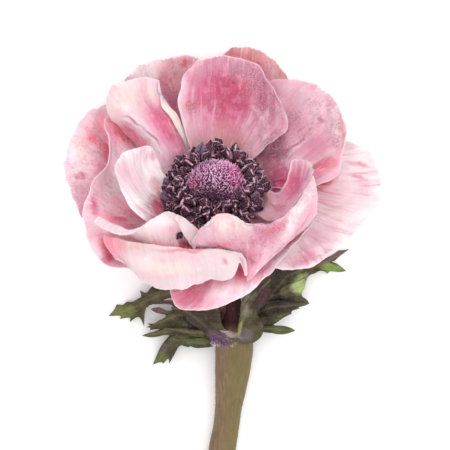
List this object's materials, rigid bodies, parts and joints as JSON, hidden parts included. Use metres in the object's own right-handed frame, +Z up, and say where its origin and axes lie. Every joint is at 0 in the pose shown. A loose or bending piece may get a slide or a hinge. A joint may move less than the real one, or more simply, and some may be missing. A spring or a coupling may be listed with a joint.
{
  "type": "anemone flower",
  "caption": "Single cut anemone flower lying down: layered waved pink petals round a studded dark centre, a ruff of toothed leaves and a smooth green stem.",
  "frame": {"origin": "centre of the flower's bounding box, on the surface that it lies on", "axes": "+Y from the stem's cut end to the bloom, +X to the right of the flower seen from above, +Z up"},
  "size_m": [0.0846, 0.1917, 0.0475],
  "materials": {
    "petal_pale": "soft satin, cream pink",
    "petal_pink": "soft satin, mid pink",
    "petal_deep": "soft satin, deep pink",
    "stem": "smooth, slightly hairy, olive tan",
    "leaf": "matte dark olive with purple",
    "leaf_bright": "matte olive green",
    "stamen": "powdery blue-black",
    "seed_dome": "matte studded magenta"
  },
  "bodies": {
    "root": {"stem": "stem", "petal_front_right": "petal_pale", "petal_front_left": "petal_pale", "petal_left_inner": "petal_pale", "petal_front_low_left": "petal_pale", "petal_left_far": "petal_pale", "petal_right_low": "petal_pale", "petal_back_right": "petal_pink", "petal_left_upper": "petal_pink", "petal_back_left": "petal_pink", "petal_back_low": "petal_pink", "petal_left_low": "petal_pink", "petal_back_inner": "petal_deep", "petal_right_inner": "petal_deep", "petal_front_low": "petal_deep", "leaf_left": "leaf", "leaf_right": "leaf", "leaf_front": "leaf_bright", "stamens": "stamen", "pistil": "seed_dome"}
  },
  "joints": []
}
